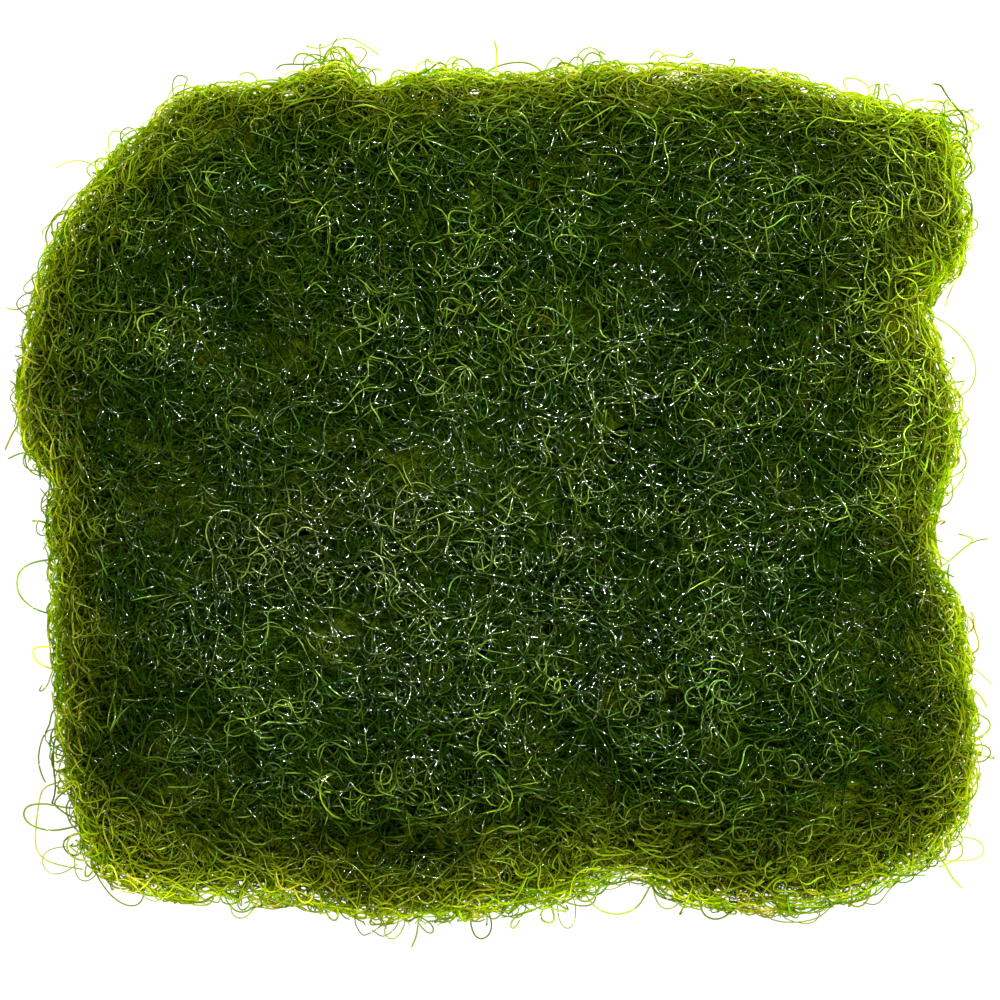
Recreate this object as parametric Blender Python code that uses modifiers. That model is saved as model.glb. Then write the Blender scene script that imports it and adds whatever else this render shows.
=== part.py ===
"""Chaeto macroalgae: a pillow-like portion of wiry green filaments, matted into each other.

Metres, +Z up. The mat lies on its flat underside, with +X to its right and +Y to its back. The
origin is on the surface that it lies on, under the middle of the portion with its stray filaments.
"""

import bpy
import numpy as np
from mathutils import Vector, noise
from mathutils.bvhtree import BVHTree

# Driving dimensions
FILAMENT = 0.0004  # thickness of one filament
THICKNESS = 0.042  # the mat from the surface that it lies on to its plateau
GAP = 0.0003  # clear space between a stray filament and the mat

# The photo, taken from above, and how its pixels become metres
PIXEL = 0.00019
CENTRE_PX = (500.0, 491.0)

# The rim of the mat as seen from above, in pixels, clockwise from the back left corner
OUTLINE_PX = (
    (167, 95), (218, 78), (278, 82), (312, 60), (350, 58), (377, 86),
    (404, 66), (470, 67), (545, 74), (594, 58), (640, 62), (745, 62),
    (795, 74), (845, 92), (900, 104), (944, 112), (966, 138), (968, 185),
    (977, 238), (960, 279), (930, 297), (921, 318), (941, 350), (960, 405),
    (958, 455), (935, 508), (935, 552), (960, 592), (964, 655), (981, 730),
    (978, 795), (958, 850), (892, 890), (800, 914), (735, 906), (672, 902),
    (639, 875), (608, 893), (545, 911), (470, 918), (390, 920), (350, 912),
    (330, 898), (240, 901), (160, 897), (104, 876), (76, 835), (58, 765),
    (55, 680), (47, 580), (47, 508), (52, 478), (28, 458), (17, 395),
    (27, 320), (43, 254), (68, 198), (112, 146),
)

# Section of the mat, from under its middle round its rim to the middle of its top:
# (share of the way from the middle to the rim, height as a share of THICKNESS)
SECTION = (
    (0.42, 0.0), (0.80, 0.0), (0.945, 0.05), (1.01, 0.20), (1.025, 0.38),
    (0.99, 0.62), (0.905, 0.85), (0.72, 0.97), (0.38, 1.0),
)
SUBDIVISION = 1

# The rim's notches fade between these shares of the way from the rim to the middle
NOTCH_KEPT = 1.0
NOTCH_GONE = 0.66
NOTCH_REACH = 4  # outline points on each side that smooth the rim where its notches are gone

# Lumps on the mat
LUMP_SIZE = 0.038
LUMP_HEIGHT = 0.0035
RIM_LUMP = 0.035  # how far the rim's section swells and shrinks, as a share
RIM_LUMP_LEVEL = 0.25  # level from which the rim has its full lumps
LEDGE_PX = 795.0  # in front of this line the mat steps down
LEDGE_WIDTH_PX = 45.0
LEDGE_DROP = 0.34  # share of the height that the step takes away

# Colours, linear
MAT_GREEN = (0.035, 0.085, 0.006, 1.0)
STRAY_GREEN = (0.16, 0.26, 0.01, 1.0)
WET_ROUGHNESS = 0.3

# Stray filaments
STRAY_SEGMENT = 0.0012  # length of one straight run of a stray filament
STRAY_LEAST_SEGMENTS = 7
STRAY_SIDES_RESOLUTION = 1
SMOOTH_POINTS = 90
FLOOR_CLEARANCE = 0.0004

# Each stray filament as seen from above: its height in millimetres at its first and its last
# point, and the points in pixels
STRAYS = {
    # left side, from the back to the front
    "stray_left_back_stem": (22, 19, ((185, 98), (187, 84), (189, 77), (184, 73))),
    "stray_left_back_loop": (
        20, 15, ((111, 156), (109, 140), (112, 129), (120, 128), (124, 138), (120, 152)),
    ),
    "stray_left_back_tail": (
        19, 13, ((106, 170), (98, 167), (89, 160), (78, 156), (64, 157), (53, 162)),
    ),
    "stray_left_back_bow": (
        10, 15, ((108, 172), (101, 157), (95, 152), (88, 157), (84, 164), (90, 170), (100, 172)),
    ),
    "stray_left_shoulder": (18, 12, ((76, 213), (67, 208), (57, 210), (50, 217), (44, 226))),
    "stray_left_small_loop": (
        14, 11, ((40, 272), (29, 276), (21, 284), (24, 289), (37, 286)),
    ),
    "stray_left_high_run": (14, 6, ((36, 301), (24, 301), (12, 303), (1, 299))),
    "stray_left_high_hook": (9, 4, ((33, 311), (25, 313), (18, 322), (15, 334))),
    "stray_left_middle_run": (13, 6, ((30, 404), (20, 417), (10, 429), (1, 445))),
    "stray_left_middle_tail": (5, 3, ((32, 452), (20, 446), (9, 449), (2, 452))),
    "stray_left_long_loop": (
        14, 11, ((54, 562), (37, 562), (21, 572), (20, 592), (34, 607), (54, 614)),
    ),
    "stray_left_bow": (
        18, 13, ((60, 651), (46, 648), (37, 651), (40, 661), (48, 667), (62, 670)),
    ),
    "stray_left_hook": (
        7, 4, ((58, 704), (51, 712), (50, 722), (42, 737), (38, 754), (40, 770), (45, 781)),
    ),
    # front left corner
    "stray_corner_long": (
        11, 4,
        ((58, 783), (46, 788), (41, 805), (38, 828), (38, 847), (46, 858), (62, 864), (84, 868)),
    ),
    "stray_corner_loop": (
        16, 10, ((72, 808), (50, 804), (33, 806), (28, 815), (36, 825), (56, 830), (78, 826)),
    ),
    "stray_corner_low_loop": (
        5, 3, ((68, 845), (50, 848), (42, 858), (48, 871), (62, 872), (78, 862)),
    ),
    "stray_corner_arc": (14, 9, ((80, 862), (82, 876), (90, 881), (98, 876), (104, 866))),
    # front edge, from left to right
    "stray_front_left_loop": (
        7, 4, ((100, 876), (112, 893), (128, 904), (141, 903), (146, 890), (140, 880)),
    ),
    "stray_front_left_arc": (9, 6, ((226, 892), (236, 908), (248, 911), (260, 902), (266, 890))),
    "stray_front_tail": (8, 3, ((424, 906), (421, 922), (419, 935), (414, 946))),
    "stray_front_loop": (
        9, 5, ((476, 908), (474, 924), (480, 937), (490, 936), (495, 924), (490, 908)),
    ),
    "stray_front_small_loop": (
        9, 5, ((560, 898), (562, 918), (569, 928), (577, 923), (579, 905), (576, 896)),
    ),
    "stray_front_arc": (10, 7, ((584, 888), (600, 907), (620, 913), (640, 906), (654, 884))),
    "stray_front_right_arc": (
        9, 6, ((756, 900), (772, 917), (796, 921), (822, 916), (842, 898)),
    ),
    "stray_front_right_tip": (13, 7, ((938, 852), (948, 866), (956, 878), (966, 887))),
    # right side, from the front to the back
    "stray_right_front_arc": (10, 8, ((958, 836), (978, 838), (988, 848), (980, 858), (955, 860))),
    "stray_right_run": (15, 7, ((952, 648), (966, 660), (982, 670), (999, 683))),
    "stray_right_short": (11, 7, ((966, 676), (977, 688), (986, 695), (993, 706))),
    "stray_right_fork": (
        16, 10, ((944, 572), (953, 561), (968, 548), (979, 539), (973, 535), (964, 532)),
    ),
    "stray_right_fork_run": (7, 4, ((972, 545), (982, 538), (991, 535), (999, 534))),
    "stray_right_pale_loop": (
        12, 8, ((940, 312), (958, 322), (974, 338), (984, 360), (980, 382), (958, 398)),
    ),
    "stray_right_back_run": (
        16, 9, ((962, 186), (974, 199), (984, 212), (986, 222), (977, 226), (966, 224)),
    ),
    "stray_right_back_loop": (
        21, 16, ((962, 161), (976, 161), (981, 167), (974, 173), (960, 172)),
    ),
    # back right corner
    "stray_corner_ring": (
        16, 19,
        ((952, 128), (953, 116), (960, 108), (970, 106), (979, 114), (980, 126), (972, 135),
         (958, 136)),
    ),
    "stray_corner_curl": (
        13, 9,
        ((940, 104), (950, 92), (966, 99), (977, 108), (984, 113), (992, 114), (990, 118),
         (983, 120)),
    ),
    # back edge, from right to left
    "stray_back_peak": (20, 16, ((890, 114), (893, 97), (901, 90), (908, 98), (913, 114))),
    "stray_back_hook": (
        15, 12,
        ((842, 99), (851, 90), (853, 79), (849, 71), (860, 69), (872, 73), (878, 82), (874, 98)),
    ),
    "stray_back_bow": (18, 15, ((548, 82), (550, 62), (559, 51), (568, 58), (570, 80))),
    "stray_back_stem": (22, 18, ((501, 76), (499, 62), (500, 48), (497, 36))),
    "stray_back_left_arc": (14, 11, ((318, 66), (326, 47), (340, 38), (353, 44), (358, 66))),
}


def place(x_px, y_px, height):
    """The point of the photo at x_px, y_px, that high above the surface, in metres."""
    return np.array(((x_px - CENTRE_PX[0]) * PIXEL, (CENTRE_PX[1] - y_px) * PIXEL, height))


def make_material(name, colour, roughness):
    """A plain wet green."""
    material = bpy.data.materials.new(name)
    material.use_nodes = True
    shader = material.node_tree.nodes["Principled BSDF"]
    shader.inputs["Base Color"].default_value = colour
    shader.inputs["Roughness"].default_value = roughness
    shader.inputs["Metallic"].default_value = 0.0
    material.diffuse_color = colour
    return material


def lump(point, size):
    """Smooth noise from about -1 to 1, with lumps about as wide as size."""
    return noise.noise(Vector(point) / size)


def smoothed(rims):
    """The rim with each point at the mean of its neighbours, which takes its notches away."""
    reach = range(-NOTCH_REACH, NOTCH_REACH + 1)
    return np.mean([np.roll(rims, step, axis=0) for step in reach], axis=0)


def mat_point(share, level, rim):
    """A point of the mat's cage: share of the way from the middle to rim, at that level."""
    x, y = rim[0] * share, rim[1] * share
    full = min(level / RIM_LUMP_LEVEL, 1.0)
    swell = 1.0 + RIM_LUMP * full * lump((x, y, level * THICKNESS), LUMP_SIZE)
    x, y = x * swell, y * swell
    ledge = place(0.0, LEDGE_PX, 0.0)[1]
    step = np.clip((ledge - y) / (LEDGE_WIDTH_PX * PIXEL), 0.0, 1.0)
    height = level * THICKNESS * (1.0 - LEDGE_DROP * step * level)
    height += level * LUMP_HEIGHT * lump((x, y, 0.0), LUMP_SIZE)
    return x, y, height


def make_tangle(collection):
    """The matted mass: the rim's outline carried round the section, then rounded."""
    rims = np.array([place(x, y, 0.0) for x, y in reversed(OUTLINE_PX)])
    plain_rims = smoothed(rims)
    columns = len(rims)
    points = []
    for share, level in SECTION:
        kept = np.clip((share - NOTCH_GONE) / (NOTCH_KEPT - NOTCH_GONE), 0.0, 1.0)
        ring = plain_rims + (rims - plain_rims) * kept
        points += [mat_point(share, level, rim) for rim in ring]
    faces = [tuple(reversed(range(columns)))]
    for level_index in range(len(SECTION) - 1):
        low = level_index * columns
        high = low + columns
        for column in range(columns):
            after = (column + 1) % columns
            faces.append((low + column, low + after, high + after, high + column))
    faces.append(tuple(range(high, high + columns)))
    mesh = bpy.data.meshes.new("tangle")
    mesh.from_pydata(points, [], faces)
    mesh.shade_smooth()
    tangle = bpy.data.objects.new("tangle", mesh)
    rounding = tangle.modifiers.new("rounding", "SUBSURF")
    rounding.levels = SUBDIVISION
    rounding.render_levels = SUBDIVISION
    mesh.materials.append(make_material("matted filaments", MAT_GREEN, WET_ROUGHNESS))
    collection.objects.link(tangle)
    return tangle


def smooth_path(points, count):
    """The Catmull-Rom curve through points, read at count places."""
    points = np.asarray(points, float)
    first = 2.0 * points[0] - points[1]
    last = 2.0 * points[-1] - points[-2]
    knots = np.vstack((first, points, last))
    along = np.linspace(0.0, len(points) - 1.0001, count)
    index = along.astype(int)
    t = (along - index)[:, None]
    a, b, c, d = (knots[index + step] for step in range(4))
    return 0.5 * (
        2.0 * b
        + (c - a) * t
        + (2.0 * a - 5.0 * b + 4.0 * c - d) * t**2
        + (3.0 * b - a - 3.0 * c + d) * t**3
    )


def outside(path, tree):
    """The longest stretch of path that stands clear of the mat."""
    clear = []
    for point in path:
        spot, normal, _, distance = tree.find_nearest(Vector(point))
        is_out = (Vector(point) - spot).dot(normal) > 0.0
        clear.append(is_out and distance > GAP + 0.5 * FILAMENT)
    best = (0, 0)
    start = 0
    for end in range(len(clear) + 1):
        if end == len(clear) or not clear[end]:
            best = max(best, (end - start, start))
            start = end + 1
    length, start = best
    return path[start:start + length]


def evenly(path):
    """The path read again at places about STRAY_SEGMENT apart."""
    steps = np.linalg.norm(np.diff(path, axis=0), axis=1)
    along = np.concatenate(([0.0], np.cumsum(steps)))
    segments = max(round(along[-1] / STRAY_SEGMENT), STRAY_LEAST_SEGMENTS)
    wanted = np.linspace(0.0, along[-1], segments + 1)
    return np.stack([np.interp(wanted, along, path[:, axis]) for axis in range(3)], axis=1)


def make_stray(name, row, tree, material, collection):
    """A stray filament: a thin tube along its path, with both ends closed."""
    root_height, tip_height, points_px = row
    heights = np.linspace(root_height, tip_height, len(points_px)) / 1000.0
    points = [place(x, y, height) for (x, y), height in zip(points_px, heights)]
    path = evenly(outside(smooth_path(points, SMOOTH_POINTS), tree))
    path[:, 2] = np.maximum(path[:, 2], 0.5 * FILAMENT + FLOOR_CLEARANCE)
    curve = bpy.data.curves.new(name, "CURVE")
    curve.dimensions = "3D"
    curve.bevel_depth = 0.5 * FILAMENT
    curve.bevel_resolution = STRAY_SIDES_RESOLUTION
    curve.use_fill_caps = True
    spline = curve.splines.new("POLY")
    spline.points.add(len(path) - 1)
    spline.points.foreach_set("co", np.column_stack((path, np.ones(len(path)))).ravel())
    curve.materials.append(material)
    stray = bpy.data.objects.new(name, curve)
    collection.objects.link(stray)


def main():
    for old in list(bpy.data.objects):
        bpy.data.objects.remove(old, do_unlink=True)
    collection = bpy.data.collections.new("chaeto macroalgae")
    bpy.context.scene.collection.children.link(collection)
    tangle = make_tangle(collection)
    bpy.context.view_layer.update()
    tree = BVHTree.FromObject(tangle, bpy.context.evaluated_depsgraph_get())
    stray_material = make_material("stray filaments", STRAY_GREEN, WET_ROUGHNESS)
    for name, row in STRAYS.items():
        make_stray(name, row, tree, stray_material, collection)


main()
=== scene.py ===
"""Chaeto macroalgae: the looks of a matted portion of wiry, wet green filaments."""

import math

import bpy
import numpy as np
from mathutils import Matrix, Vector
from mathutils.bvhtree import BVHTree


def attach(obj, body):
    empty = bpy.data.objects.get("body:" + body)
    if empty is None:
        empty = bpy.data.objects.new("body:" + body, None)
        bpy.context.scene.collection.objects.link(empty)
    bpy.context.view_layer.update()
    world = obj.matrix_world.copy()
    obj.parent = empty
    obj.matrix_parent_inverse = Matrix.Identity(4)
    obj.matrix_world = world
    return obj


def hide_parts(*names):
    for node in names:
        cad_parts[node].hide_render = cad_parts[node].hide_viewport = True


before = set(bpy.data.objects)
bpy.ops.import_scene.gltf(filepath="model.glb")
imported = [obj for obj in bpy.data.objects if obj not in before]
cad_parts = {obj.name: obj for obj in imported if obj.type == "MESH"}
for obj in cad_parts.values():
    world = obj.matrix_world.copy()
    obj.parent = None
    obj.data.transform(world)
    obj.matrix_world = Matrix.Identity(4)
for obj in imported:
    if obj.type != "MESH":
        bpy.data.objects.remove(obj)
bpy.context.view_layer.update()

RANDOM = np.random.default_rng(4632)
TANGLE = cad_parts["tangle"]

# Places on the mat are given as pixels of the photo, taken from above
PIXEL = 0.00019
CENTRE_PX = (497.0, 490.0)
PHOTO_MIDDLE_PX = (500.0, 500.0)
PHOTO_WIDTH_PX = 1000.0

# Filaments
FILAMENT = 0.0004
WIDTHS = (0.52, 0.98)  # the thinnest and thickest filament, times FILAMENT
TUBE_SIDES = 3
STRAY_SIDES = 6
END_TAPER = 0.55
TURN_LENGTH = 0.006  # a turn of one radian counts as this much length when points are thinned
UP = np.array((0.0, 0.0, 1.0))

# Stretches of the mat, each by its middle and half widths in pixels, and a strength where it has one
COMBED = (560.0, 165.0), (230.0, 65.0)  # the straighter stretch along the back
DULL = (300.0, 545.0), (120.0, 75.0)  # a dull brown-green patch
WETTEST = (460.0, 590.0), (390.0, 270.0)  # where most drops stand on the filaments
LIT_STRETCHES = (  # painted light: stretches painted lighter and yellower, where the mat is thinner and better lit
    ((900.0, 260.0), (85.0, 230.0), 1.15),
    ((130.0, 190.0), (90.0, 60.0), 0.45),
    ((560.0, 115.0), (330.0, 50.0), 0.42),
    ((340.0, 120.0), (110.0, 55.0), 0.30),
    ((490.0, 380.0), (110.0, 120.0), 0.12),
    ((880.0, 430.0), (50.0, 140.0), 0.25),
    ((390.0, 795.0), (120.0, 22.0), 0.55),
)
HOLLOWS = (  # deeper, and painted with shade as well
    ((245.0, 320.0), (40.0, 95.0), 0.9),
    ((430.0, 215.0), (90.0, 25.0), 0.6),
    ((165.0, 490.0), (40.0, 110.0), 0.8),
    ((130.0, 755.0), (60.0, 60.0), 1.4),
    ((550.0, 765.0), (70.0, 55.0), 1.0),
    ((390.0, 848.0), (90.0, 20.0), 1.2),
    ((885.0, 690.0), (45.0, 90.0), 0.7),
    ((640.0, 285.0), (50.0, 38.0), 0.8),
    ((800.0, 345.0), (60.0, 25.0), 0.7),
    ((290.0, 410.0), (75.0, 90.0), 0.5),
    ((550.0, 170.0), (50.0, 35.0), 0.5),
    ((440.0, 460.0), (60.0, 45.0), 0.5),
)

TRIMMED = (  # where the loose filaments stop short of the mat's rim, by so many millimetres
    ((12.0, 370.0), (30.0, 75.0), 1.3),
    ((45.0, 488.0), (18.0, 24.0), 1.6),
    ((40.0, 545.0), (16.0, 32.0), 1.1),
    ((35.0, 335.0), (22.0, 30.0), 0.5),
    ((385.0, 920.0), (75.0, 18.0), 0.9),
    ((800.0, 918.0), (60.0, 18.0), 0.6),
    ((978.0, 230.0), (14.0, 40.0), 0.8),
    ((928.0, 318.0), (18.0, 14.0), 1.0),
    ((958.0, 365.0), (18.0, 35.0), 0.9),
    ((938.0, 548.0), (18.0, 45.0), 1.7),
    ((980.0, 700.0), (16.0, 75.0), 0.9),
    ((636.0, 884.0), (16.0, 14.0), 1.2),
    ((372.0, 78.0), (14.0, 12.0), 0.8),
    ((140.0, 115.0), (30.0, 22.0), 0.5),
)
TUFTS = (  # where loops stand further out, by so many millimetres
    ((335.0, 62.0), (30.0, 22.0), 3.2),
    ((600.0, 60.0), (24.0, 18.0), 2.4),
    ((410.0, 70.0), (40.0, 14.0), 1.0),
    ((885.0, 97.0), (22.0, 16.0), 1.8),
    ((952.0, 122.0), (20.0, 24.0), 3.8),
    ((968.0, 155.0), (14.0, 22.0), 1.4),
    ((60.0, 785.0), (20.0, 50.0), 2.6),
    ((80.0, 850.0), (30.0, 26.0), 3.6),
    ((955.0, 860.0), (26.0, 24.0), 2.4),
    ((560.0, 908.0), (60.0, 16.0), 1.8),
    ((675.0, 902.0), (30.0, 14.0), 0.8),
)

# Field of depths below the mat's surface
CELL = 0.002
FIELD_MARGIN = 0.012
INSET = 0.0004  # how far inside the solid the loose filaments' own surface lies
RELIEF = 0.0030  # how deep the hollows between the clumps are
CLUMP = 0.013  # size of a clump
RIM_LEVEL = 0.016  # height at which the mat is widest
RIM_WIDTH = 0.0045  # how far in the rim's painted backlight has fallen to about a third
HOLLOWS_FROM = 0.012  # how far in from the rim the hollows reach their full depth
RIM_CREST = 0.0012  # how far inside the rim the painted backlight is strongest
FRINGE_TUCK = 0.0035
SEED_STRIP = 0.006  # width of the strips over which filaments are shared out evenly
RIM_OUTSIDE = 0.62  # how much painted backlight filaments clear of the rim get
SHADE_FROM = 0.0008  # depth from which filaments are painted with shade
SHADE_DEPTH = 0.0024  # further depth by which the painted shade darkens them to about a third


def unit(vectors):
    """Vectors over their own lengths."""
    return vectors / np.maximum(np.linalg.norm(vectors, axis=-1, keepdims=True), 1e-12)


def waves(points, size, count, seed):
    """Smooth noise of about -1 to 1: the mean of sine waves about size long, each in its own way."""
    draw = np.random.default_rng(seed)
    ways = unit(draw.normal(size=(count, 3))) * (2.0 * np.pi / size) * draw.uniform(0.6, 1.5, (count, 1))
    starts = draw.uniform(0.0, 2.0 * np.pi, count)
    return np.sin(points @ ways.T + starts).sum(axis=-1) / math.sqrt(count)


def zone(points, middle_px, half_px):
    """1 at a place on the mat, falling off as a bell curve with the given half widths across and down."""
    across = points[..., 0] / PIXEL + CENTRE_PX[0] - middle_px[0]
    down = CENTRE_PX[1] - points[..., 1] / PIXEL - middle_px[1]
    return np.exp(-((across / half_px[0]) ** 2 + (down / half_px[1]) ** 2))


def total_zone(points, stretches):
    """The sum of the stretches' bell curves, each times its own strength."""
    return sum(strength * zone(points, middle, half) for middle, half, strength in stretches)


def corner_places(mesh):
    """The mesh's corners as rows of three numbers."""
    places = np.empty(len(mesh.vertices) * 3)
    mesh.vertices.foreach_get("co", places)
    return places.reshape(-1, 3)


class Field:
    """Depth below the mat's surface on a grid, with the way in, read between its nodes."""

    def __init__(self, node):
        corners = corner_places(node.data)
        faces = [tuple(face.vertices) for face in node.data.polygons]
        tree = BVHTree.FromPolygons(corners.tolist(), faces)
        low = corners.min(axis=0) - FIELD_MARGIN
        high = corners.max(axis=0) + FIELD_MARGIN
        counts = np.ceil((high - low) / CELL).astype(int) + 1
        axes = [low[axis] + CELL * np.arange(counts[axis]) for axis in range(3)]
        flat = np.stack(np.meshgrid(*axes, indexing="ij"), axis=-1).reshape(-1, 3)
        depth = np.empty(len(flat))
        for row, point in enumerate(flat.tolist()):
            spot, normal, _, distance = tree.find_nearest(point)
            depth[row] = distance if (spot - Vector(point)).dot(normal) > 0.0 else -distance
        plain = depth.reshape(counts)
        clumps = waves(flat, CLUMP, 24, 11) + 0.6 * waves(flat, 0.45 * CLUMP, 24, 12)
        hollow = RELIEF * np.clip(0.3 + 0.5 * clumps + total_zone(flat, HOLLOWS), 0.0, 1.8).reshape(counts)
        level = int((RIM_LEVEL - low[2]) / CELL)
        inland = np.clip(plain[:, :, level] / HOLLOWS_FROM, 0.2, 1.0)
        trim = INSET + 0.001 * total_zone(flat, TRIMMED).reshape(counts)
        depth = plain - hollow * inland[:, :, None] - trim
        way_in = np.stack(np.gradient(depth, CELL), axis=-1)
        self.low = low
        self.counts = counts
        self.table = np.concatenate((depth[..., None], way_in, plain[..., None]), axis=-1)

    def between(self, points):
        """The table at each point, each of the eight nodes round it weighted by how near it is."""
        place = np.clip((points - self.low) / CELL, 0.0, self.counts - 1.001)
        base = place.astype(int)
        part = place - base
        total = 0.0
        for corner in np.ndindex(2, 2, 2):
            index = base + corner
            weight = np.prod(np.where(corner, part, 1.0 - part), axis=-1)
            total = total + weight[..., None] * self.table[index[..., 0], index[..., 1], index[..., 2]]
        return total

    def read(self, points):
        """Depth below the uneven surface and unit way in at each point."""
        found = self.between(points)
        return found[..., 0], unit(found[..., 1:4])

    def shade(self, points):
        """Share of painted shade: 0 at the mat's outermost skin, rising to 1 as an exponential of the depth below
        it.
        """
        plain = self.between(points)[..., 4]
        return 1.0 - np.exp(-np.maximum(plain - SHADE_FROM, 0.0) / SHADE_DEPTH)


FIELD = Field(TANGLE)


def rim_share(points):
    """Nearness to the rim, which sets the painted backlight: 1 just inside the rim of the mat seen from above,
    falling as an exponential of the way in over RIM_WIDTH to nothing, less in the hollows, and RIM_OUTSIDE where
    a filament stands clear of it."""
    flat = points.copy()
    flat[..., 2] = RIM_LEVEL
    depth, _ = FIELD.read(flat)
    inside = 1.05 * np.exp(-np.maximum(depth - RIM_CREST, 0.0) / RIM_WIDTH) - 0.05
    inside = inside * np.clip(1.0 - 0.50 * total_zone(points, HOLLOWS), 0.3, 1.0)
    clear = np.clip((RIM_CREST - depth) / (2.0 * RIM_CREST), 0.0, 1.0)
    return np.clip(inside, 0.0, 1.0) * (1.0 - (1.0 - RIM_OUTSIDE) * clear)


def surface_seeds(count, weight_of):
    """Points spread evenly over the mat's faces, more where weight_of(middle, normal) is high: the faces
    are put in order, strip by strip, and a point falls at each even share of their weighted areas."""
    corners = corner_places(TANGLE.data)
    index = np.array([tuple(face.vertices)[:3] for face in TANGLE.data.polygons])
    a, b, c = (corners[index[:, side]] for side in range(3))
    cross = np.cross(b - a, c - a)
    middle = (a + b + c) / 3.0
    order = np.lexsort((middle[:, 0], np.round(middle[:, 1] / SEED_STRIP), cross[:, 2] > 0.0))
    share = np.cumsum((np.linalg.norm(cross, axis=1) * weight_of(middle, unit(cross)))[order])
    wanted = (np.arange(count) + RANDOM.random(count)) / count * share[-1]
    pick = RANDOM.permutation(order[np.minimum(np.searchsorted(share, wanted), len(order) - 1)])
    u, v = RANDOM.random((2, count, 1))
    over = u + v > 1.0
    u, v = np.where(over, 1.0 - u, u), np.where(over, 1.0 - v, v)
    return a[pick] + u * (b[pick] - a[pick]) + v * (c[pick] - a[pick])


def on_top(middle, normal):
    """Most filaments on top, fewer down the sides, few beneath."""
    return np.where(normal[:, 2] > 0.35, 1.0, np.where(normal[:, 2] > -0.6, 0.95, 0.12))


def on_rim(middle, normal):
    """Only on the sides of the mat, most about its widest level."""
    side = np.abs(normal[:, 2]) < 0.75
    level = 0.25 + np.exp(-(((middle[:, 2] - RIM_LEVEL) / 0.008) ** 2))
    return side * level * (1.0 + 1.1 * total_zone(middle, TUFTS))


def swaying(count, steps, step, short, long):
    """A smooth value of about -1 to 1 for each filament and step: the sum of three sine waves, each with
    its own length between short and long and its own start."""
    along = step * np.arange(steps)
    length = RANDOM.uniform(short, long, (3, count, 1))
    start = RANDOM.uniform(0.0, 2.0 * np.pi, (3, count, 1))
    return np.sin(2.0 * np.pi * along / length + start).sum(axis=0) / math.sqrt(3.0)


def swaying_bend(count, steps, step, kind):
    """Bend of each filament along its length: its own strength, held one way and then the other."""
    strength = RANDOM.uniform(*kind["bend"], (count, 1))
    favoured = RANDOM.normal(0.0, 0.55, (count, 1))
    return strength * np.tanh(1.8 * swaying(count, steps, step, *kind["bend_waves"]) + favoured)


def walk(seeds, way, step, bend, depth):
    """Filaments that run along the mat, each step turned in the surface by its bend times the step and
    held at its depth below the surface. Returns paths (filament, step, axis) and the ways out there."""
    count, steps = bend.shape
    point = seeds.copy()
    path = np.empty((count, steps, 3))
    out = np.empty((count, steps, 3))
    for index in range(steps):
        level, way_in = FIELD.read(point)
        shift = np.clip(depth[:, index] - level, -0.8 * step, 0.8 * step)
        point = point + way_in * shift[:, None]
        path[:, index] = point
        out[:, index] = -way_in
        side = np.cross(way_in, way)
        turn = (bend[:, index] * curliness(point) * step)[:, None]
        way = way * np.cos(turn) + side * np.sin(turn)
        way = unit(way - way_in * np.sum(way * way_in, axis=1, keepdims=True))
        point = point + way * step
    return path, out


def curliness(points):
    """How strongly filaments curl: least in the combed stretch along the back edge of the mat."""
    return 1.0 - 0.55 * zone(points, *COMBED)


def kink_free(path):
    """Each path with every inner point moved halfway to the mean of its neighbours."""
    path = path.copy()
    path[:, 1:-1] = 0.5 * path[:, 1:-1] + 0.25 * (path[:, :-2] + path[:, 2:])
    return path


def thinned(path, out, kept):
    """Each path with only the kept number of points, closest together where it bends most: points at even
    shares of the sum of each step's length and its turn times TURN_LENGTH."""
    ways = np.diff(path, axis=1)
    length = np.linalg.norm(ways, axis=2)
    turn = np.linalg.norm(np.diff(unit(ways), axis=1), axis=2)
    turn = np.pad(turn, ((0, 0), (1, 0)), mode="edge")
    share = np.pad(np.cumsum(length + TURN_LENGTH * turn, axis=1), ((0, 0), (1, 0)))
    share /= share[:, -1:]
    count, steps, _ = path.shape
    wanted = np.broadcast_to(np.linspace(0.0, 1.0, kept), (count, kept))
    row = np.arange(count)[:, None]
    after = np.clip((share[:, None] <= wanted[..., None]).sum(axis=2), 1, steps - 1)
    low, high = share[row, after - 1], share[row, after]
    part = ((wanted - low) / np.maximum(high - low, 1e-9))[..., None]
    return tuple(value[row, after - 1] * (1.0 - part) + value[row, after] * part for value in (path, out))


def grow(kind):
    """One bundle of a kind of filament, weaving up and down between its shallow and deep levels."""
    count, step, steps = kind["count"], kind["step"], kind["steps"]
    shallow, deep = kind["levels"]
    seeds = surface_seeds(count, on_top)
    _, way_in = FIELD.read(seeds)
    lean = RANDOM.normal(size=(count, 3))
    lean[:, 0] *= kind["across"] * (1.0 + 2.0 * zone(seeds, *COMBED))
    way = unit(np.cross(way_in, np.cross(lean, way_in)))
    bend = swaying_bend(count, steps, step, kind)
    level = shallow + (deep - shallow) * RANDOM.random((count, 1)) ** kind["crowd"]
    weave = kind["weave"] * RANDOM.uniform(0.2, 1.0, (count, 1))
    depth = level + weave * swaying(count, steps, step, 0.006, 0.018)
    depth = np.maximum(depth, shallow - 0.0004)
    path, out = walk(seeds, way, step, bend, depth)
    for _ in range(4):
        path = kink_free(path)
    path[..., 2] = np.maximum(path[..., 2], FILAMENT)
    return thinned(path, out, kind["kept"])


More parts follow.
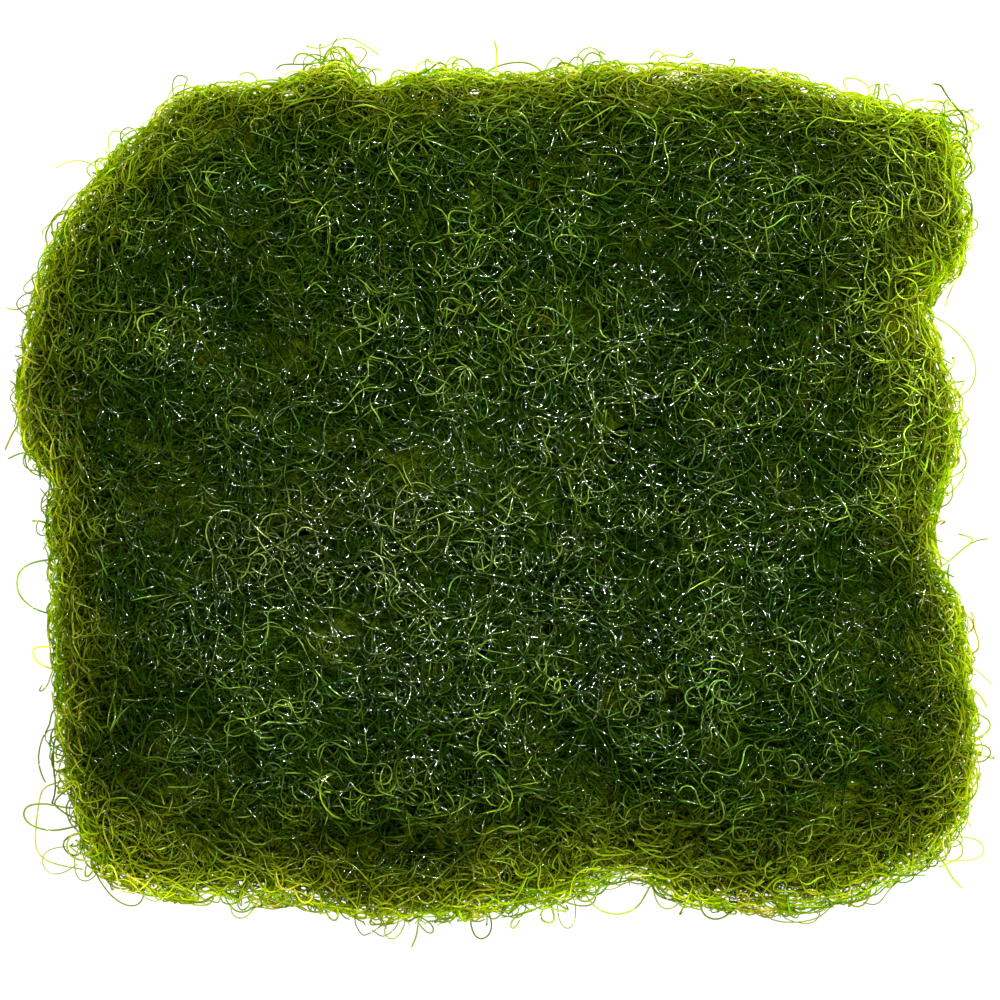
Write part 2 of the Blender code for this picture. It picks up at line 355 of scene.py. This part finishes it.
def grow_fringe(kind):
    """Loose loops at the rim. Each is a flat curl whose bend sways, laid in the plane of the way out and a
    way along the rim, with its ends drawn in by FRINGE_TUCK, and slid in or out until its furthest point
    stands at its own reach."""
    count, step, steps = kind["count"], kind["step"], kind["steps"]
    seeds = surface_seeds(count, on_rim)
    level, way_in = FIELD.read(seeds)
    seeds = seeds - way_in * level[:, None]
    out = unit(-way_in * (1.0, 1.0, 0.45))
    beside = unit(np.cross(UP, out) + RANDOM.normal(0.0, 0.45, (count, 1)) * UP)
    lift = np.cross(out, beside)
    bend = swaying_bend(count, steps, step, kind)
    heading = RANDOM.uniform(0.0, 2.0 * np.pi, (count, 1)) + np.cumsum(bend * step, axis=1)
    u = step * np.cumsum(np.cos(heading), axis=1)
    v = step * np.cumsum(np.sin(heading), axis=1) - FRINGE_TUCK * np.linspace(-1.0, 1.0, steps) ** 4
    furthest = np.argmax(v, axis=1)[:, None]
    reach = kind["reach"][0] + (kind["reach"][1] - kind["reach"][0]) * RANDOM.random((count, 1)) ** 2.4
    reach = reach * (1.0 + 0.7 * zone(seeds, *COMBED)[:, None])
    reach = reach + 0.001 * (total_zone(seeds, TUFTS)[:, None] * RANDOM.uniform(0.2, 1.2, (count, 1)))
    u = u - np.take_along_axis(u, furthest, axis=1)
    v = v - np.take_along_axis(v, furthest, axis=1) + reach
    rise = 0.0011 * swaying(count, steps, step, 0.006, 0.016)
    path = seeds[:, None] + u[..., None] * beside[:, None] + v[..., None] * out[:, None]
    path = kink_free(path + rise[..., None] * lift[:, None])
    path[..., 2] = np.maximum(path[..., 2], FILAMENT)
    return path, np.broadcast_to(UP + 0.3 * out[:, None], path.shape)


def faces_to_mesh(name, places, quads, rest):
    """A smooth mesh from points, four-cornered faces and further faces, put in as whole arrays."""
    mesh = bpy.data.meshes.new(name)
    sizes = np.concatenate([np.full(len(quads), 4)] + [np.full(len(part), part.shape[1]) for part in rest])
    corners = np.concatenate([quads.ravel()] + [part.ravel() for part in rest]).astype(np.int32)
    mesh.vertices.add(len(places))
    mesh.vertices.foreach_set("co", places.astype(np.float32).ravel())
    mesh.loops.add(len(corners))
    mesh.loops.foreach_set("vertex_index", corners)
    mesh.polygons.add(len(sizes))
    mesh.polygons.foreach_set("loop_start", (np.cumsum(sizes) - sizes).astype(np.int32))
    mesh.update(calc_edges=True)
    mesh.shade_smooth()
    return mesh


def tubes(name, bundles, material, slot, nodes, sides=TUBE_SIDES):
    """Closed tubes: a ring of sides corners, as wide as a filament, carried along every path with one
    corner turned out. Each corner keeps its strand's own number, its length along the strand in
    millimetres, and how near the rim and how deep it is, which set the painted backlight and painted
    shade; also the painted light and shade of its stretch, its tint and wetness, and how near the
    turned-out corner it is."""
    places, quads, caps = [], [], []
    kept = {"strand": [], "along": [], "rim": [], "deep": [], "painted_light_and_shade": [], "dull": [], "wet": [], "ridge": []}
    start = 0
    girth = 0.5 * FILAMENT / math.cos(math.pi / 6.0 if sides == TUBE_SIDES else 0.0)
    for path, out in bundles:
        count, steps, _ = path.shape
        way = unit(np.gradient(path, axis=1))
        side = unit(np.cross(way, out))
        up = np.cross(side, way)
        radius = girth * RANDOM.uniform(*WIDTHS, (count, 1, 1))
        radius = np.repeat(radius, steps, axis=1)
        radius[:, (0, -1)] *= END_TAPER
        angle = 2.0 * np.pi * np.arange(sides) / sides
        ring = up[:, :, None] * np.cos(angle)[:, None] + side[:, :, None] * np.sin(angle)[:, None]
        places.append((path[:, :, None] + radius[:, :, None] * ring).reshape(-1, 3))
        number = start + np.arange(count * steps * sides).reshape(count, steps, sides)
        after = np.roll(number, -1, axis=2)
        quads.append(np.stack((number[:, :-1], number[:, 1:], after[:, 1:], after[:, :-1]), axis=-1).reshape(-1, 4))
        caps += [number[:, 0], number[:, -1, ::-1]]
        shape = (count, steps, sides)
        length = np.cumsum(np.linalg.norm(np.diff(path, axis=1, prepend=path[:, :1]), axis=2), axis=1)
        for title, value in (
            ("strand", RANDOM.random((count, 1))),
            ("along", 1000.0 * length),
            # share of painted backlight near the rim
            ("rim", rim_share(path)),
            # share of painted shade by depth
            ("deep", FIELD.shade(path)),
            # painted light in the lit stretches and painted shade in the hollows
            ("painted_light_and_shade", 1.0 + total_zone(path, LIT_STRETCHES) - 0.4 * total_zone(path, HOLLOWS)),
            ("dull", zone(path, *DULL)),
            ("wet", zone(path, *WETTEST)),
        ):
            kept[title].append(np.broadcast_to(value[..., None], shape).ravel())
        # how near the turned-out corner: sets a painted lit core and painted shade at the edges
        kept["ridge"].append(np.broadcast_to(np.clip(np.cos(angle), 0.0, 1.0), shape).ravel())
        start += count * steps * sides
    mesh = faces_to_mesh(name, np.concatenate(places), np.concatenate(quads), caps)
    for title, values in kept.items():
        layer = mesh.attributes.new(title, "FLOAT", "POINT")
        layer.data.foreach_set("value", np.concatenate(values).astype(np.float32))
    mesh.materials.append(material)
    piece = bpy.data.objects.new(name, mesh)
    bpy.context.scene.collection.objects.link(piece)
    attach(piece, "root")
    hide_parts(*nodes)


class Shader:
    """Short names for making nodes and links in one material."""

    def __init__(self, name):
        self.material = bpy.data.materials.new(name)
        self.material.use_nodes = True
        self.tree = self.material.node_tree
        self.tree.nodes.clear()

    def node(self, kind, inputs=(), **settings):
        node = self.tree.nodes.new(kind)
        for key, value in settings.items():
            setattr(node, key, value)
        for key, value in dict(inputs).items():
            if isinstance(value, bpy.types.NodeSocket):
                self.tree.links.new(value, node.inputs[key])
            else:
                node.inputs[key].default_value = value
        return node

    def math(self, operation, *values):
        return self.node("ShaderNodeMath", dict(enumerate(values)), operation=operation).outputs[0]

    def mix(self, factor, first, second, blend="MIX"):
        node = self.node("ShaderNodeMix", {0: factor, 6: first, 7: second}, data_type="RGBA", blend_type=blend)
        return node.outputs[2]

    def grey(self, value):
        return self.node("ShaderNodeCombineColor", {0: value, 1: value, 2: value}).outputs[0]

    def ramp(self, factor, stops):
        node = self.node("ShaderNodeValToRGB", {"Fac": factor})
        elements = node.color_ramp.elements
        while len(elements) < len(stops):
            elements.new(1.0)
        for element, (position, colour) in zip(elements, stops):
            element.position = position
            element.color = (*colour, 1.0)
        return node.outputs["Color"]

    def attribute(self, name):
        return self.node("ShaderNodeAttribute", attribute_name=name, attribute_type="GEOMETRY").outputs["Fac"]

    def noise(self, scale, detail=2.0, roughness=0.5):
        where = self.node("ShaderNodeTexCoord").outputs["Object"]
        inputs = {"Vector": where, "Scale": scale, "Detail": detail, "Roughness": roughness}
        return self.node("ShaderNodeTexNoise", inputs).outputs["Fac"]

    def bump(self, strength, distance, height):
        inputs = {"Strength": strength, "Distance": distance, "Height": height}
        return self.node("ShaderNodeBump", inputs).outputs[0]


# Colours, linear
GREENS = (
    (0.00, (0.009, 0.028, 0.0002)),
    (0.25, (0.016, 0.043, 0.0002)),
    (0.50, (0.030, 0.060, 0.0003)),
    (0.70, (0.046, 0.072, 0.0003)),
    (0.86, (0.018, 0.050, 0.0010)),
    (0.92, (0.009, 0.042, 0.0050)),
    (1.00, (0.080, 0.098, 0.0006)),
)
GLOWS = (
    (0.00, (0.14, 0.40, 0.003)),
    (0.35, (0.30, 0.58, 0.003)),
    (0.65, (0.45, 0.66, 0.003)),
    (0.85, (0.18, 0.50, 0.020)),
    (1.00, (0.50, 0.52, 0.010)),
)
# painted backlight: the lighter greens of filaments near the rim
BACKLIT_RIM_GREENS = (
    (0.00, (0.085, 0.150, 0.0010)),
    (0.30, (0.175, 0.230, 0.0015)),
    (0.60, (0.240, 0.285, 0.0030)),
    (0.85, (0.320, 0.350, 0.0100)),
    (0.95, (0.440, 0.440, 0.0500)),
    (1.00, (0.300, 0.270, 0.0100)),
)
RIM_GLOWS = (
    (0.00, (0.22, 0.50, 0.010)),
    (0.30, (0.50, 0.72, 0.008)),
    (0.85, (0.74, 0.84, 0.010)),
    (1.00, (0.78, 0.70, 0.030)),
)
SHADOW_GREEN = (0.0016, 0.0078, 0.0001, 1.0)
# painted shade at the edges of each filament
EDGE_SHADE_GREEN = (0.0020, 0.0094, 0.0002, 1.0)
# painted sheen along each filament
PAINTED_SHEEN_GREEN = (0.120, 0.150, 0.050, 1.0)
# painted backlight on the packed filaments near the rim
PACKED_BACKLIT_RIM = (0.160, 0.190, 0.0015, 1.0)
DULL_GREEN = (0.045, 0.046, 0.010, 1.0)
# painted light: the yellower green of the lit stretches
PAINTED_LIGHT_GREEN = (0.062, 0.080, 0.0006, 1.0)
BEAD = 1.3  # length of a swelling along a filament, mm


def filament_material():
    """Wet filaments: a glossy green skin over a body that lets yellow-green light through, with painted
    backlight at the rim, painted shade down in the mat, painted light and shade along and across each
    filament, a painted sheen, and soft swellings along them that break up the gloss."""
    s = Shader("wet filaments")
    strand = s.attribute("strand")
    rim = s.attribute("rim")
    # Painted shade with depth, less near the backlit rim
    deep = s.math("MULTIPLY", s.attribute("deep"), s.math("MULTIPLY_ADD", rim, -0.90, 1.0))
    ridge = s.attribute("ridge")
    # Painted light and shade in larger patches over the mat
    painted_light_patches = s.node("ShaderNodeMapRange", {"Value": s.noise(45.0, 3.0, 0.6), "From Min": 0.35, "From Max": 0.65,
                                            "To Min": 0.40, "To Max": 1.45}).outputs[0]
    mottle = s.noise(700.0, 2.0, 0.5)
    swell = s.math("SINE", s.math("MULTIPLY_ADD", s.attribute("along"), 2.0 * math.pi / BEAD, s.math("MULTIPLY", mottle, 9.0)))
    skin = s.ramp(strand, GREENS)
    place = s.node("ShaderNodeCombineXYZ", {0: s.math("MULTIPLY", s.attribute("along"), 0.22), 1: s.math("MULTIPLY", strand, 97.0)})
    # Painted light along each strand: it fades and brightens, and a few strands are painted brighter
    fade = s.node("ShaderNodeTexNoise", {"Vector": place.outputs[0], "Scale": 1.0, "Detail": 1.0}).outputs["Fac"]
    fade = s.node("ShaderNodeMapRange", {"Value": fade, "From Min": 0.38, "From Max": 0.64, "To Min": 0.14, "To Max": 1.72}).outputs[0]
    lucky = s.math("POWER", s.math("FRACT", s.math("MULTIPLY", strand, 17.31)), 2.2)
    light = s.math("MULTIPLY", fade, s.math("MULTIPLY_ADD", lucky, 1.25, 0.24))
    light = s.math("MULTIPLY", light, painted_light_patches)
    # Painted light and shade by stretch: lighter and yellower where lit, darker in the hollows
    painted_light_and_shade = s.attribute("painted_light_and_shade")
    light = s.math("MULTIPLY", light, painted_light_and_shade)
    skin = s.mix(s.math("MULTIPLY", s.attribute("dull"), 0.6), skin, DULL_GREEN)
    painted_lit_share = s.math("MAXIMUM", s.math("SUBTRACT", painted_light_and_shade, 1.0), 0.0)
    skin = s.mix(s.math("MULTIPLY", painted_lit_share, 0.55), skin, PAINTED_LIGHT_GREEN)
    wetness = s.attribute("wet")
    # Painted sheen: a pale streak along each filament's outward corner, stronger on brighter, wetter stretches
    pale = s.math("MULTIPLY", s.math("MINIMUM", light, 1.2), s.math("MULTIPLY_ADD", wetness, 0.30, 0.16))
    skin = s.mix(s.math("MULTIPLY", s.math("POWER", ridge, 4.0), pale), skin, PAINTED_SHEEN_GREEN)
    skin = s.mix(1.0, skin, s.grey(light), "MULTIPLY")
    # Painted backlight: lighter yellow-greens near the rim
    skin = s.mix(s.math("MULTIPLY", rim, 0.85), skin, s.ramp(strand, BACKLIT_RIM_GREENS))
    skin = s.mix(s.math("MULTIPLY", mottle, 0.30), skin, SHADOW_GREEN)
    # Painted lit core and painted shade at the edges of each filament, less shade near the rim
    lit_core = s.math("POWER", ridge, 1.3)
    edge = s.math("MULTIPLY", s.math("SUBTRACT", 1.0, lit_core), s.math("MULTIPLY_ADD", rim, -0.55, 0.80))
    skin = s.mix(edge, skin, EDGE_SHADE_GREEN)
    # Painted shade: darker towards SHADOW_GREEN deeper in the mat
    skin = s.mix(s.math("MULTIPLY", deep, 0.92), skin, SHADOW_GREEN)
    # The light let through also takes the painted light, and brighter colours at the backlit rim
    glow = s.mix(1.0, s.ramp(strand, GLOWS), s.grey(light), "MULTIPLY")
    glow = s.mix(rim, glow, s.ramp(strand, RIM_GLOWS))
    # Painted shade on the light let through, by depth
    glow = s.mix(s.math("MULTIPLY", deep, 0.85), glow, (0.01, 0.03, 0.001, 1.0))
    rough = s.math("MULTIPLY_ADD", mottle, 0.20, 0.20)
    wet = s.bump(0.25, 0.0001, s.math("ADD", mottle, s.math("MULTIPLY", swell, 0.5)))
    spot = s.node("ShaderNodeCombineXYZ", {0: s.math("MULTIPLY", s.attribute("along"), 0.75), 1: s.math("MULTIPLY", strand, 131.0)})
    beads = s.node("ShaderNodeTexNoise", {"Vector": spot.outputs[0], "Scale": 1.0, "Detail": 1.0}).outputs["Fac"]
    beads = s.math("MULTIPLY_ADD", wetness, 0.04, s.math("ADD", beads, -0.02))
    beads = s.node("ShaderNodeMapRange", {"Value": beads, "From Min": 0.52, "From Max": 0.58}).outputs[0]
    drops = s.math("MULTIPLY", beads, s.math("MULTIPLY_ADD", wetness, 0.60, 0.45))
    inputs = {
        "Base Color": skin, "Roughness": rough, "IOR": 1.40, "Specular IOR Level": 0.0, "Normal": wet,
        "Coat Weight": drops, "Coat Roughness": 0.14, "Coat IOR": 1.70, "Coat Normal": wet,
    }
    surface = s.node("ShaderNodeBsdfPrincipled", inputs)
    through = s.node("ShaderNodeBsdfTranslucent", {"Color": glow})
    share = s.math("MULTIPLY_ADD", rim, 0.48, 0.12)
    body = s.node("ShaderNodeMixShader", {0: share, 1: surface.outputs[0], 2: through.outputs[0]})
    s.node("ShaderNodeOutputMaterial", {"Surface": body.outputs[0]})
    return s.material


def packed_material():
    """The filaments packed below: near-black green, a painted shade deep in the mat, crossed by curly lines,
    each a level of a noise, with painted backlight near the rim.
    """
    s = Shader("packed filaments")
    lines = 0.0
    for scale, turns in ((120.0, 16.0), (170.0, 18.0), (95.0, 20.0)):
        wave = s.math("SINE", s.math("MULTIPLY", s.noise(scale, 0.0), turns * math.pi))
        lines = s.math("MAXIMUM", lines, s.math("POWER", s.math("ABSOLUTE", wave), 8.0))
    patch = s.noise(45.0, 3.0, 0.6)
    colour = s.ramp(
        s.math("MULTIPLY", lines, s.math("MULTIPLY_ADD", patch, 1.2, 0.2)),
        (
            (0.0, (0.0006, 0.0026, 0.0001)),
            (0.45, (0.0014, 0.0050, 0.0002)),
            (0.85, (0.0044, 0.0110, 0.0003)),
            (1.0, (0.0090, 0.0170, 0.0004)),
        ),
    )
    # Painted backlight near the rim
    colour = s.mix(s.attribute("rim"), colour, PACKED_BACKLIT_RIM)
    inputs = {
        "Base Color": colour, "Roughness": 0.6, "IOR": 1.33, "Specular IOR Level": 0.0,
        "Normal": s.bump(0.9, 0.0004, lines),
    }
    surface = s.node("ShaderNodeBsdfPrincipled", inputs)
    s.node("ShaderNodeOutputMaterial", {"Surface": surface.outputs[0]})
    return s.material


# Kinds of filament: how many, step and steps, least and most bend, lengths of the waves it bends in,
# shallowest and deepest level, how crowded towards the top, how far it weaves, how much it runs across
CURLS = {
    "count": 800, "step": 0.0006, "steps": 84, "kept": 40, "bend": (210.0, 680.0), "bend_waves": (0.009, 0.028),
    "levels": (0.0001, 0.0034), "crowd": 1.5, "weave": 0.0016, "across": 1.0,
}
UNDER_CURLS = {
    "count": 1100, "step": 0.0012, "steps": 50, "kept": 30, "bend": (110.0, 340.0), "bend_waves": (0.011, 0.034),
    "levels": (0.0014, 0.0056), "crowd": 0.9, "weave": 0.0010, "across": 1.0,
}
LONG_RUNS = {
    "count": 420, "step": 0.0010, "steps": 44, "kept": 24, "bend": (20.0, 130.0), "bend_waves": (0.012, 0.040),
    "levels": (0.0004, 0.0030), "crowd": 1.0, "weave": 0.0008, "across": 2.2,
}
FRINGE = {
    "count": 1060, "step": 0.0008, "steps": 22, "bend": (240.0, 640.0), "bend_waves": (0.012, 0.030),
    "reach": (-0.0028, 0.0028),
}


def packed_mass(material):
    """The deep filaments as one body: the mat's own shape made finer, then every corner moved along the
    way in to a level below the loose filaments that rises and falls as two sizes of wave."""
    corners, index = np.unique(np.round(corner_places(TANGLE.data), 6), axis=0, return_inverse=True)
    faces = [tuple(int(index.ravel()[i]) for i in face.vertices) for face in TANGLE.data.polygons]
    coarse = bpy.data.meshes.new("packed_coarse")
    coarse.from_pydata(corners.tolist(), [], faces)
    piece = bpy.data.objects.new("packed_filaments", coarse)
    bpy.context.scene.collection.objects.link(piece)
    finer = piece.modifiers.new("finer", "SUBSURF")
    finer.levels = finer.render_levels = 1
    shown = piece.evaluated_get(bpy.context.evaluated_depsgraph_get())
    mesh = bpy.data.meshes.new_from_object(shown)
    piece.modifiers.clear()
    piece.data = mesh
    mesh.name = "packed_filaments"
    places = corner_places(mesh)
    level = 0.0044 + 0.0010 * waves(places, 0.006, 24, 31) + 0.0006 * waves(places, 0.0028, 24, 32)
    level = level + 0.0006 * rim_share(places)
    for _ in range(8):
        depth, way_in = FIELD.read(places)
        places = places + way_in * np.clip(level - depth, -0.002, 0.002)[:, None]
    mesh.vertices.foreach_set("co", places.ravel())
    rim = mesh.attributes.new("rim", "FLOAT", "POINT")
    rim.data.foreach_set("value", rim_share(places))
    mesh.shade_smooth()
    mesh.materials.append(material)
    mesh.update()
    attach(piece, "root")
    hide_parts("tangle")


STRAY_STEP = 0.0005
STRAY_ROOT = 0.007  # how far a stray filament is carried on into the mat
STRAY_NEAR = -0.0045  # an end this close to the mat, or closer, is carried on


def centre_line(node):
    """The middle line of a tube: the mean of each ring of corners, in order from end to end."""
    corners = np.unique(np.round(corner_places(node.data), 6), axis=0)
    left = list(range(len(corners)))
    middles = []
    while left:
        first = corners[left[0]]
        ring = [i for i in left if np.linalg.norm(corners[i] - first) < 1.15 * FILAMENT]
        middles.append(corners[ring].mean(axis=0))
        left = [i for i in left if i not in ring]
    middles = np.array(middles)
    gaps = np.linalg.norm(middles[:, None] - middles[None], axis=2)
    np.fill_diagonal(gaps, np.inf)
    order = [int(np.argmax(np.sort(gaps, axis=1)[:, 1]))]
    while len(order) < len(middles):
        row = gaps[order[-1]].copy()
        row[order] = np.inf
        order.append(int(np.argmin(row)))
    return middles[order]


def carried_in(points):
    """The line with each end that is near the mat carried on, turning steadily to the way in."""
    for _ in range(2):
        points = points[::-1]
        level, _ = FIELD.read(points[-1:])
        if level[0] < STRAY_NEAR:
            continue
        way = unit(points[-1] - points[-2])
        tail = [points[-1]]
        for _ in range(int(STRAY_ROOT / STRAY_STEP)):
            _, way_in = FIELD.read(tail[-1][None])
            way = unit(way + 0.16 * way_in[0])
            tail.append(tail[-1] + STRAY_STEP * way)
        points = np.concatenate((points, tail[1:]))
    return points


def spread_evenly(points):
    """The line as points STRAY_STEP apart, eased three times so that it bends smoothly."""
    length = np.concatenate(([0.0], np.cumsum(np.linalg.norm(np.diff(points, axis=0), axis=1))))
    at = np.linspace(0.0, length[-1], max(4, int(length[-1] / STRAY_STEP)))
    points = np.stack([np.interp(at, length, points[:, axis]) for axis in range(3)], axis=1)
    path = points[None]
    for _ in range(3):
        path = kink_free(path)
    return path


def main():
    wet = filament_material()
    packed_mass(packed_material())
    matted = ("matted_filaments", ["tangle"])
    for letter in "abc":
        tubes(f"top_curls_{letter}", [grow(CURLS)], wet, *matted)
    tubes("under_curls", [grow(UNDER_CURLS)], wet, *matted)
    tubes("long_filaments", [grow(LONG_RUNS)], wet, *matted)
    tubes("rim_loops", [grow_fringe(FRINGE)], wet, *matted)
    strays = [node for name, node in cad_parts.items() if name.startswith("stray")]
    bundles = []
    for node in strays:
        path = spread_evenly(carried_in(centre_line(node)))
        bundles.append((path, np.broadcast_to(UP, path.shape)))
    tubes("stray_filaments", bundles, wet, "stray_filaments", [node.name for node in strays], STRAY_SIDES)


def studio():
    """A pale floor, faint light all round, and small bright lamps that the wet filaments mirror."""
    scene = bpy.context.scene
    scene.view_settings.view_transform = "Standard"
    world = bpy.data.worlds.new("studio")
    world.use_nodes = True
    tree = world.node_tree
    background = tree.nodes["Background"]
    background.inputs["Color"].default_value = (1.0, 1.0, 1.0, 1.0)
    rays = tree.nodes.new("ShaderNodeLightPath").outputs
    strength = tree.nodes.new("ShaderNodeMath")
    strength.operation = "MULTIPLY_ADD"
    strength.inputs[1].default_value = 0.10
    tree.links.new(rays["Is Diffuse Ray"], strength.inputs[0])
    tree.links.new(rays["Is Camera Ray"], strength.inputs[2])
    tree.links.new(strength.outputs[0], background.inputs["Strength"])
    scene.world = world
    bpy.ops.mesh.primitive_plane_add(size=4.0, location=(0.0, 0.0, -0.0002))
    floor = bpy.context.object
    floor.name = "floor"
    s = Shader("pale floor")
    rays = s.node("ShaderNodeLightPath").outputs
    seen = s.math("MULTIPLY", rays["Is Camera Ray"], 0.95)
    soft = s.math("MULTIPLY", rays["Is Diffuse Ray"], 5.5)
    inputs = {
        "Base Color": (0.05, 0.05, 0.004, 1.0), "Roughness": 0.9, "Specular IOR Level": 0.0,
        "Emission Color": (1.0, 1.0, 1.0, 1.0),
        "Emission Strength": s.math("ADD", s.math("ADD", seen, soft), 0.1),
    }
    s.node("ShaderNodeOutputMaterial", {"Surface": s.node("ShaderNodeBsdfPrincipled", inputs).outputs[0]})
    floor.data.materials.append(s.material)
    lamps = (
        ("key", (0.20, 0.28, 0.70), 0.08, 30.0),
        ("glint_right", (0.55, 0.10, 0.75), 0.03, 14.0),
        ("glint_left", (-0.40, 0.20, 0.85), 0.03, 14.0),
        ("glint_front", (0.10, -0.40, 0.85), 0.03, 16.0),
    )
    for name, spot, size, power in lamps:
        data = bpy.data.lights.new(name, "AREA")
        data.size = size
        data.energy = power
        lamp = bpy.data.objects.new(name, data)
        lamp.location = spot
        lamp.rotation_euler = (-Vector(spot)).to_track_quat("-Z", "Y").to_euler()
        scene.collection.objects.link(lamp)


def camera():
    """Looks down on the mat from a little in front of straight above, as wide as the photo."""
    elevation = math.radians(84.0)
    distance = 0.80
    across, down = PHOTO_MIDDLE_PX[0] - CENTRE_PX[0], PHOTO_MIDDLE_PX[1] - CENTRE_PX[1]
    aim = Vector((across * PIXEL, -down * PIXEL, RIM_LEVEL))
    back = Vector((0.0, -math.cos(elevation), math.sin(elevation)))
    data = bpy.data.cameras.new("camera")
    data.sensor_width = 36.0
    data.lens = data.sensor_width * distance / (PHOTO_WIDTH_PX * PIXEL)
    lens = bpy.data.objects.new("camera", data)
    lens.location = aim + back * distance
    lens.rotation_euler = (-back).to_track_quat("-Z", "Y").to_euler()
    bpy.context.scene.collection.objects.link(lens)
    bpy.context.scene.camera = lens


camera()
main()
studio()
